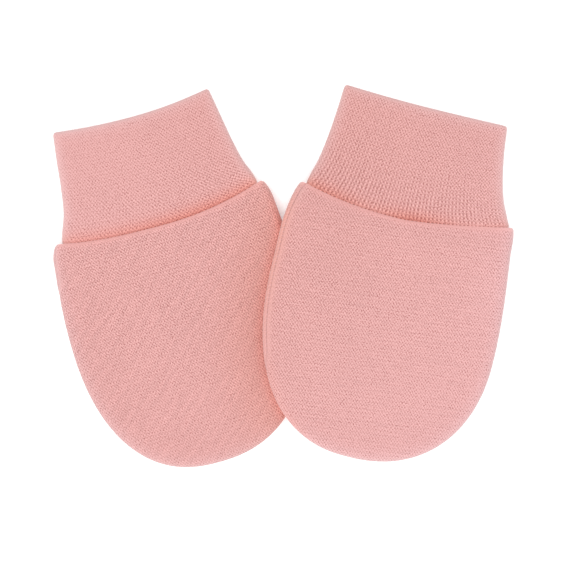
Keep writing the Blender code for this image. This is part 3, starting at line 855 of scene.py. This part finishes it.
def stitch_tree():
    """Lays short thread stitches across a seam's path at an even spacing."""
    if "mitten_stitches" in bpy.data.node_groups:
        return bpy.data.node_groups["mitten_stitches"]
    tree, given = new_tree("mitten_stitches", [
        ("Spacing", "Float"), ("Length", "Float"), ("Thread", "Float"), ("Slant", "Float"),
        ("Seed", "Int"), ("Cloth", "Material")])
    path = add(tree, "GeometryNodeMeshToCurve", {"Mesh": given["Geometry"]}).outputs[0]
    even = add(tree, "GeometryNodeResampleCurve", {"Curve": path, "Length": given["Spacing"]}, mode="LENGTH")
    half = calc(tree, "MULTIPLY", given["Length"], 0.5)
    bow_height = calc(tree, "MULTIPLY", given["Length"], STITCH_BOW)
    start = add(tree, "ShaderNodeCombineXYZ", {"X": calc(tree, "MULTIPLY", half, -1.0)}).outputs[0]
    crest = add(tree, "ShaderNodeCombineXYZ", {"Z": bow_height}).outputs[0]
    end = add(tree, "ShaderNodeCombineXYZ", {"X": half}).outputs[0]
    bow = add(tree, "GeometryNodeCurveQuadraticBezier",
              {"Resolution": 5, "Start": start, "Middle": crest, "End": end}).outputs[0]
    round_thread = add(tree, "GeometryNodeCurvePrimitiveCircle",
                       {"Resolution": 6, "Radius": given["Thread"]}, mode="RADIUS").outputs[0]
    stitch = add(tree, "GeometryNodeCurveToMesh",
                 {"Curve": bow, "Profile Curve": round_thread, "Fill Caps": True}).outputs[0]
    turned = add(tree, "FunctionNodeAxesToRotation",
                 {0: named(tree, "across", "FLOAT_VECTOR"), 1: named(tree, "out", "FLOAT_VECTOR")},
                 primary_axis="X", secondary_axis="Z").outputs[0]
    least = calc(tree, "MULTIPLY", given["Slant"], LEAST_SLANT)
    lean = add(tree, "FunctionNodeRandomValue", {2: least, 3: given["Slant"], "Seed": given["Seed"]},
               data_type="FLOAT").outputs[1]
    leaning = add(tree, "FunctionNodeAxisAngleToRotation",
                  {"Axis": (0.0, 0.0, 1.0), "Angle": lean}).outputs[0]
    facing = add(tree, "FunctionNodeRotateRotation",
                 {0: turned, 1: leaning}, rotation_space="LOCAL").outputs[0]
    sewn = add(tree, "GeometryNodeInstanceOnPoints",
               {"Points": even.outputs[0], "Instance": stitch, "Rotation": facing})
    return finish_tree(tree, sewn.outputs[0], given["Cloth"])


# ---------------------------------------------------------------- seam thread

def seam_path(mitten, crossed):
    """Places along the seam groove, the direction across it, and the direction out of it."""
    sides = []
    for depth in (GROOVE_DEPTH * THREAD_DEPTH, -1.0):
        places = []
        for section in edge_sections(mitten):
            angle = math.radians(section.seam)
            radius = section.roll - depth
            u, v = section_place(section, section.roll - radius * math.cos(angle))
            places.append((u, v, section.roll + radius * math.sin(angle)))
        u, v, z = np.array(places).T
        sides.append(place(mitten, u, v, z, crossed))
    path, outside = sides
    out = outside - path
    out /= np.linalg.norm(out, axis=1, keepdims=True)
    across = np.cross(np.gradient(path, axis=0), out)
    across /= np.linalg.norm(across, axis=1, keepdims=True)
    return path, across, out


def seam_thread(mitten, crossed, sizes, material):
    """Stitches that close one hand's seam, as one piece."""
    path, across, out = seam_path(mitten, crossed)
    name = mitten.name + "_seam_thread"
    mesh = bpy.data.meshes.new(name)
    mesh.from_pydata(path.tolist(), [(i, i + 1) for i in range(len(path) - 1)], [])
    for key, values in (("across", across), ("out", out)):
        attribute = mesh.attributes.new(key, "FLOAT_VECTOR", "POINT")
        attribute.data.foreach_set("vector", values.ravel())
    made = add_object(name, mesh)
    sewing = made.modifiers.new("stitches", "NODES")
    sewing.node_group = stitch_tree()
    set_inputs(sewing, {"Spacing": sizes.stitch_spacing, "Length": sizes.stitch_length,
                        "Thread": sizes.thread_radius, "Slant": sizes.stitch_slant,
                        "Seed": sizes.stitch_seed, "Cloth": material})
    return settle(made)


# ---------------------------------------------------------------- materials

def new_material(name):
    """A material, its node tree and its shader."""
    material = bpy.data.materials.new(name)
    material.use_nodes = True
    return material, material.node_tree, material.node_tree.nodes["Principled BSDF"]


def object_place(tree):
    """Place in the object's own coordinates."""
    return add(tree, "ShaderNodeTexCoord").outputs["Object"]


def noise(tree, place_in, scale, detail, output="Fac", **settings):
    """Soft noise at a place."""
    inputs = {"Vector": place_in, "Scale": scale, "Detail": detail}
    return add(tree, "ShaderNodeTexNoise", inputs, **settings).outputs[output]


def kept(tree, name, output="Fac"):
    """A value or colour that the mesh holds at each place."""
    return add(tree, "ShaderNodeAttribute", attribute_name=name).outputs[output]


def mixed(tree, share, first, second, **settings):
    """A colour part of the way from one to another; either may be three plain numbers."""
    colours = [item if isinstance(item, bpy.types.NodeSocket) else (*item, 1.0) for item in (first, second)]
    inputs = {0: share, 6: colours[0], 7: colours[1]}
    return add(tree, "ShaderNodeMix", inputs, data_type="RGBA", **settings).outputs[2]


def stitch_places(tree, place_in, scale):
    """Places counted in stitches along the cloth's own map, a little astray."""
    cloth = add(tree, "ShaderNodeUVMap", uv_map="cloth").outputs[0]
    even = add(tree, "ShaderNodeMapping", {"Vector": cloth, "Scale": (*scale, 1.0)}).outputs[0]
    sway = vector(tree, "SUBTRACT", noise(tree, place_in, SWAY_SCALE, 2.0, "Color"), (0.5, 0.5, 0.5))
    return vector(tree, "ADD", even, scaled(tree, sway, SWAY))


def stitch_heights(tree, stitches, knit):
    """Height of the knit, about 0 in the gaps and 1 on the stitches."""
    split = parts_of(tree, stitches)
    across, along = split["X"], split["Y"]
    leg = calc(tree, "PINGPONG", across, 0.5)
    rows = wave(tree, calc(tree, "MULTIPLY_ADD", leg, 2 * knit.slant, along))
    # Loop heads in quincunx, where one diagonal is stronger because the yarn is twisted.
    rising = wave(tree, calc(tree, "ADD", across, along))
    falling = wave(tree, calc(tree, "SUBTRACT", across, along))
    heads = add(tree, "ShaderNodeMix", {0: knit.twist, 2: falling, 3: rising}, data_type="FLOAT").outputs[0]
    height = calc(tree, "MULTIPLY", rows, 1.0 - knit.check)
    height = calc(tree, "MULTIPLY_ADD", heads, knit.check, height)
    columns = spread_about(tree, wave(tree, across), 1.0, 0.0)
    lines = calc(tree, "MULTIPLY", kept(tree, "relief"), knit.wale_line)
    return calc(tree, "MULTIPLY_ADD", columns, lines, height)


def gap_depths(tree, stitches, place_in, height):
    """Depth of the gaps from the middle height, with lint and an uneven pull.

    Also returns a number from 0 to 1 for each stitch.
    """
    cells = add(tree, "ShaderNodeMapping", {"Vector": stitches, "Scale": LINT_CELLS}).outputs[0]
    lint = add(tree, "ShaderNodeTexVoronoi", {"Vector": cells, "Scale": 1.0},
               voronoi_dimensions="2D").outputs["Distance"]
    each = add(tree, "ShaderNodeTexWhiteNoise", {"Vector": vector(tree, "FLOOR", stitches)},
               noise_dimensions="2D").outputs
    patch = noise(tree, place_in, PATCH_SCALE, 1.0)
    uneven = calc(tree, "MULTIPLY", spread_about(tree, each["Value"], UNEVEN, 1.0),
                  spread_about(tree, patch, UNEVEN, 1.0))
    depth = calc(tree, "MULTIPLY", calc(tree, "SUBTRACT", 0.5, height), uneven)
    depth = calc(tree, "SUBTRACT", depth, calc(tree, "MULTIPLY_ADD", lint, -LINT, LINT_MIDDLE))
    return depth, parts_of(tree, each["Color"])["Y"]


def streak_tones(tree):
    """Light and dark streaks, about 0, and their strength."""
    places = parts_of(tree, kept(tree, "streak", "Color"))
    field = add(tree, "ShaderNodeCombineXYZ", {0: places["X"], 1: places["Y"]}).outputs[0]
    broad = parts_of(tree, noise(tree, field, 1.0, 0.0, "Color", noise_dimensions="2D"))
    fine = noise(tree, field, FINE_SCALE, 1.0, noise_dimensions="2D")
    bent = calc(tree, "MULTIPLY_ADD", broad["X"], STREAK_BEND, places["Y"])
    strength = calc(tree, "MULTIPLY_ADD", broad["Y"], STREAK_PATCH, STREAK_LEAST)
    tones = calc(tree, "MULTIPLY", spread_about(tree, wave(tree, bent), 1.0, 0.0), strength)
    return calc(tree, "ADD", tones, spread_about(tree, fine, FINE_STREAKS, 0.0)), places["Z"]


def knit_material(name, sizes, scale, knit):
    """Cotton knit whose stitches follow the cloth's own map; scale is stitches for each unit."""
    material, tree, shader = new_material(name)
    place_in = object_place(tree)
    stitches = stitch_places(tree, place_in, scale)
    height = stitch_heights(tree, stitches, knit)
    depth, each = gap_depths(tree, stitches, place_in, height)
    drawn = kept(tree, "drawn")
    firm = calc(tree, "MULTIPLY", kept(tree, "firm"), calc(tree, "MULTIPLY_ADD", drawn, -DRAWN_CALM, 1.0))
    deepened = calc(tree, "MULTIPLY_ADD", calc(tree, "MULTIPLY", depth, depth), GAP_CURVE, GAP_MIDDLE)
    shown = calc(tree, "MULTIPLY_ADD", calc(tree, "ADD", depth, deepened),
                 calc(tree, "MULTIPLY", firm, knit.contrast), 0.5)

    cloud = spread_about(tree, noise(tree, place_in, CLOUD_SCALE, 1.0), CLOUD, 0.0)
    dark = calc(tree, "MULTIPLY_ADD", calc(tree, "POWER", each, FEW_DARK), DARK, UNDARK)
    streaks, strength = streak_tones(tree)
    bright = calc(tree, "MULTIPLY_ADD", streaks, strength, calc(tree, "ADD", dark, cloud))
    dyed = mixed(tree, shown, sizes.yarn_colour, sizes.gap_colour, clamp_factor=True)
    # Drawn places take the worn colour: smoother cloth, and partly a painted sheen
    wear_sheen = calc(tree, "MULTIPLY", drawn, DRAWN_SHEEN)
    worn_sheen = mixed(tree, wear_sheen, scaled(tree, dyed, bright), sizes.worn_sheen_colour)
    # The painted light and shade that the mesh holds multiplies the cloth's colour
    shaded = mixed(tree, 1.0, worn_sheen, kept(tree, "painted_light_and_shade", "Color"), blend_type="MULTIPLY")
    raised = calc(tree, "MULTIPLY", calc(tree, "SUBTRACT", 0.5, depth), firm)
    bump = add(tree, "ShaderNodeBump", {"Height": raised, "Distance": sizes.stitch_relief, "Strength": 1.0})
    fill(shader, {"Base Color": shaded, "Normal": bump.outputs[0], "Roughness": 0.92,
                  "Specular IOR Level": 0.2, "Sheen Weight": 0.6, "Sheen Roughness": 0.4,
                  "Sheen Tint": (1.0, 0.93, 0.92, 1.0)})
    return material


def thread_material(sizes):
    """Twisted polyester thread in the cloth's colour."""
    material, tree, shader = new_material("sewing_thread")
    twist = add(tree, "ShaderNodeTexWave", {"Vector": object_place(tree), "Scale": 2600.0, "Distortion": 1.5,
                                            "Detail": 1.0}, bands_direction="DIAGONAL").outputs["Fac"]
    bump = add(tree, "ShaderNodeBump", {"Height": twist, "Distance": 0.00003})
    fill(shader, {"Base Color": mixed(tree, twist, sizes.worn_sheen_colour, sizes.yarn_colour),
                  "Normal": bump.outputs[0], "Roughness": 0.6, "Sheen Weight": 0.15})
    return material


def table_material(sizes):
    """Matt white table with a faint unevenness, lit from within so that shadows stay pale."""
    material, tree, shader = new_material("white_table")
    cloud = noise(tree, object_place(tree), 6.0, 2.0)
    pale = [channel * TABLE_UNEVEN for channel in sizes.table_colour]
    fill(shader, {"Base Color": mixed(tree, cloud, sizes.table_colour, pale), "Roughness": 0.95,
                  "Specular IOR Level": 0.1, "Emission Color": (1.0, 1.0, 1.0, 1.0),
                  "Emission Strength": sizes.table_glow})
    return material


# ---------------------------------------------------------------- stage

def area_light(name, aim, azimuth, elevation, distance, size, power, colour):
    """Square soft light that faces a point; azimuth 0 stands on +X and 90 on +Y."""
    turn, rise = math.radians(azimuth), math.radians(elevation)
    away = Vector((math.cos(rise) * math.cos(turn), math.cos(rise) * math.sin(turn), math.sin(rise)))
    data = bpy.data.lights.new(name, "AREA")
    data.shape = "SQUARE"
    data.size = size
    data.energy = power
    data.color = colour
    made = add_object(name, data)
    made.location = aim + away * distance
    made.rotation_euler = away.to_track_quat("Z", "Y").to_euler()
    return made


def table_top(half, material):
    """Square table under the mittens, with a turned-down edge."""
    shape = bmesh.new()
    bmesh.ops.create_grid(shape, x_segments=8, y_segments=8, size=half)
    rim = [edge for edge in shape.edges if edge.is_boundary]
    made = bmesh.ops.extrude_edge_only(shape, edges=rim)
    drop = [item for item in made["geom"] if isinstance(item, bmesh.types.BMVert)]
    bmesh.ops.translate(shape, verts=drop, vec=(0.0, 0.0, -TABLE_EDGE))
    bmesh.ops.translate(shape, verts=shape.verts[:], vec=(0.0, 0.0, -TABLE_DROP))
    mesh = bpy.data.meshes.new(TABLE_NAME)
    shape.to_mesh(mesh)
    shape.free()
    return add_object(TABLE_NAME, mesh, material)


# ---------------------------------------------------------------- add-on

def colour_value(label, description, default):
    """Colour property in linear values."""
    return FloatVectorProperty(name=label, description=description, subtype="COLOR", size=3,
                               min=0.0, max=1.0, default=default)


def length_value(label, description, default, largest):
    """Length property in metres."""
    return FloatProperty(name=label, description=description, unit="LENGTH", precision=5,
                         min=0.0, max=largest, default=default)


class MittenCloth(bpy.types.PropertyGroup):
    """Sizes and colours of the knitted cloth and the thread."""

    yarn_colour: colour_value("Yarn", "Cotton on top of a stitch", (0.717, 0.407, 0.393))
    gap_colour: colour_value("Gap", "Depth between two stitches", (0.335, 0.129, 0.119))
    # The worn colour is paler than the knit: smoother cloth, and partly a painted sheen
    worn_sheen_colour: colour_value("Worn", "Cloth drawn smooth at folds and seams", (0.60, 0.34, 0.328))
    hand_wall: length_value("Hand wall", "Thickness of the jersey", 0.0009, 0.003)
    wale_pitch: length_value("Wale pitch", "Width of one stitch of the hand", 0.00099, 0.01)
    course_pitch: length_value("Course pitch", "Height of one stitch of the hand", 0.0013, 0.01)
    rib_course: length_value("Rib course", "Height of one stitch of the cuff", 0.0013, 0.01)
    rib_height: length_value("Rib height", "How far the cuff's columns stand up", 0.00016, 0.001)
    stitch_relief: length_value("Stitch relief", "Depth of a stitch in the surface", 0.00006, 0.001)
    stitch_spacing: length_value("Stitch spacing", "Between two stitches of the seam", 0.0014, 0.01)
    stitch_length: length_value("Stitch length", "Length of a stitch across the seam", 0.0007, 0.01)
    thread_radius: length_value("Thread radius", "Half the sewing thread's thickness", 0.00008, 0.001)
    stitch_slant: FloatProperty(name="Stitch slant", description="Most that a stitch leans",
                                subtype="ANGLE", min=0.0, max=1.5, default=math.radians(24.0))
    stitch_seed: IntProperty(name="Stitch seed", description="Seed of the uneven stitches", min=0, default=4)


class MittenStage(bpy.types.PropertyGroup):
    """Table, light and camera."""

    table_colour: colour_value("Table", "Colour of the table", (0.93, 0.93, 0.93))
    table_glow: FloatProperty(name="Table glow", description="Light given by the table itself",
                              min=0.0, default=0.2)
    table_half: length_value("Table half width", "Half the table's side", 1.6, 10.0)
    key_power: FloatProperty(name="Key light", description="Soft light from in front",
                             unit="POWER", min=0.0, default=6.0)
    sky_strength: FloatProperty(name="Sky", description="Even light from all round", min=0.0, default=1.36)
    view_width: length_value("View width", "Width of table that the camera sees", 0.191, 2.0)
    camera_height: length_value("Camera height", "Camera's height over the table", 2.0, 20.0)


class MITTENS_OT_hand_panels(bpy.types.Operator):
    """Make the front and back jersey panels of both hands"""

    bl_idname = "mittens.hand_panels"
    bl_label = "Hand Panels"

    def execute(self, context):
        sizes = context.scene.mitten_cloth
        jersey = knit_material("hand_jersey_knit", sizes,
                               (MM / sizes.wale_pitch, MM / sizes.course_pitch), JERSEY)
        under, over = outline(LEFT), outline(RIGHT)
        for mitten, crossed, neighbour in ((LEFT, None, over), (RIGHT, under, under)):
            for face in (-1, 1):
                panel, node = hand_panel(mitten, face, crossed, neighbour, sizes, jersey)
                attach(panel, "root")
                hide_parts(node)
                rests = [TABLE_NAME] if face < 0 else [mitten.name + "_hand_back", mitten.name + "_cuff"]
                if face < 0 and crossed is not None:
                    rests.append("left_hand_front")
        return {"FINISHED"}


class MITTENS_OT_rib_cuffs(bpy.types.Operator):
    """Make the folded rib cuffs of both mittens"""

    bl_idname = "mittens.rib_cuffs"
    bl_label = "Rib Cuffs"

    def execute(self, context):
        sizes = context.scene.mitten_cloth
        rib = knit_material("cuff_rib_knit", sizes, (1.0, MM / sizes.rib_course), RIB)
        for mitten, crossed in ((LEFT, None), (RIGHT, outline(LEFT))):
            tube, node = cuff(mitten, crossed, sizes, rib)
            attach(tube, "root")
            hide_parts(node)
        return {"FINISHED"}


class MITTENS_OT_seam_thread(bpy.types.Operator):
    """Sew the seams of both hands with thread"""

    bl_idname = "mittens.seam_thread"
    bl_label = "Seam Thread"

    def execute(self, context):
        sizes = context.scene.mitten_cloth
        thread = thread_material(sizes)
        for mitten, crossed in ((LEFT, None), (RIGHT, outline(LEFT))):
            sewn = seam_thread(mitten, crossed, sizes, thread)
            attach(sewn, "root")
        return {"FINISHED"}


class MITTENS_OT_stage(bpy.types.Operator):
    """Set the table, the soft lights and the camera"""

    bl_idname = "mittens.stage"
    bl_label = "Stage"

    def execute(self, context):
        sizes = context.scene.mitten_stage
        table_top(sizes.table_half, table_material(sizes))
        area_light("key_light", VIEW_MIDDLE, azimuth=-110.0, elevation=44.0, distance=1.4, size=0.7,
                   power=sizes.key_power, colour=(1.0, 0.995, 0.985))
        world = bpy.data.worlds.new("even_sky")
        world.use_nodes = True
        fill(world.node_tree.nodes["Background"],
             {"Color": (1.0, 1.0, 1.0, 1.0), "Strength": sizes.sky_strength})
        context.scene.world = world
        data = bpy.data.cameras.new("camera")
        data.sensor_width = 36.0
        data.lens = data.sensor_width * (sizes.camera_height - VIEW_MIDDLE.z) / sizes.view_width
        data.clip_end = 50.0
        camera = add_object("camera", data)
        camera.location = (VIEW_MIDDLE.x, VIEW_MIDDLE.y, sizes.camera_height)
        context.scene.camera = camera
        context.scene.view_settings.view_transform = "Standard"
        return {"FINISHED"}


class MITTENS_PT_sidebar(bpy.types.Panel):
    """Lists the pieces of the mittens and their sizes"""

    bl_label = "Baby Mittens"
    bl_space_type = "VIEW_3D"
    bl_region_type = "UI"
    bl_category = "Mittens"

    def draw(self, context):
        for maker in (MITTENS_OT_hand_panels, MITTENS_OT_rib_cuffs, MITTENS_OT_seam_thread, MITTENS_OT_stage):
            self.layout.operator(maker.bl_idname)
        for sizes in (context.scene.mitten_cloth, context.scene.mitten_stage):
            box = self.layout.box()
            for key in sizes.__annotations__:
                box.prop(sizes, key)


CLASSES = (MittenCloth, MittenStage, MITTENS_OT_hand_panels, MITTENS_OT_rib_cuffs,
           MITTENS_OT_seam_thread, MITTENS_OT_stage, MITTENS_PT_sidebar)


def register():
    for item in CLASSES:
        bpy.utils.register_class(item)
    bpy.types.Scene.mitten_cloth = PointerProperty(type=MittenCloth)
    bpy.types.Scene.mitten_stage = PointerProperty(type=MittenStage)


def unregister():
    del bpy.types.Scene.mitten_stage
    del bpy.types.Scene.mitten_cloth
    for item in reversed(CLASSES):
        bpy.utils.unregister_class(item)


def main():
    register()
    bpy.ops.mittens.hand_panels()
    bpy.ops.mittens.rib_cuffs()
    bpy.ops.mittens.seam_thread()
    bpy.ops.mittens.stage()


if __name__ == "__main__":
    main()
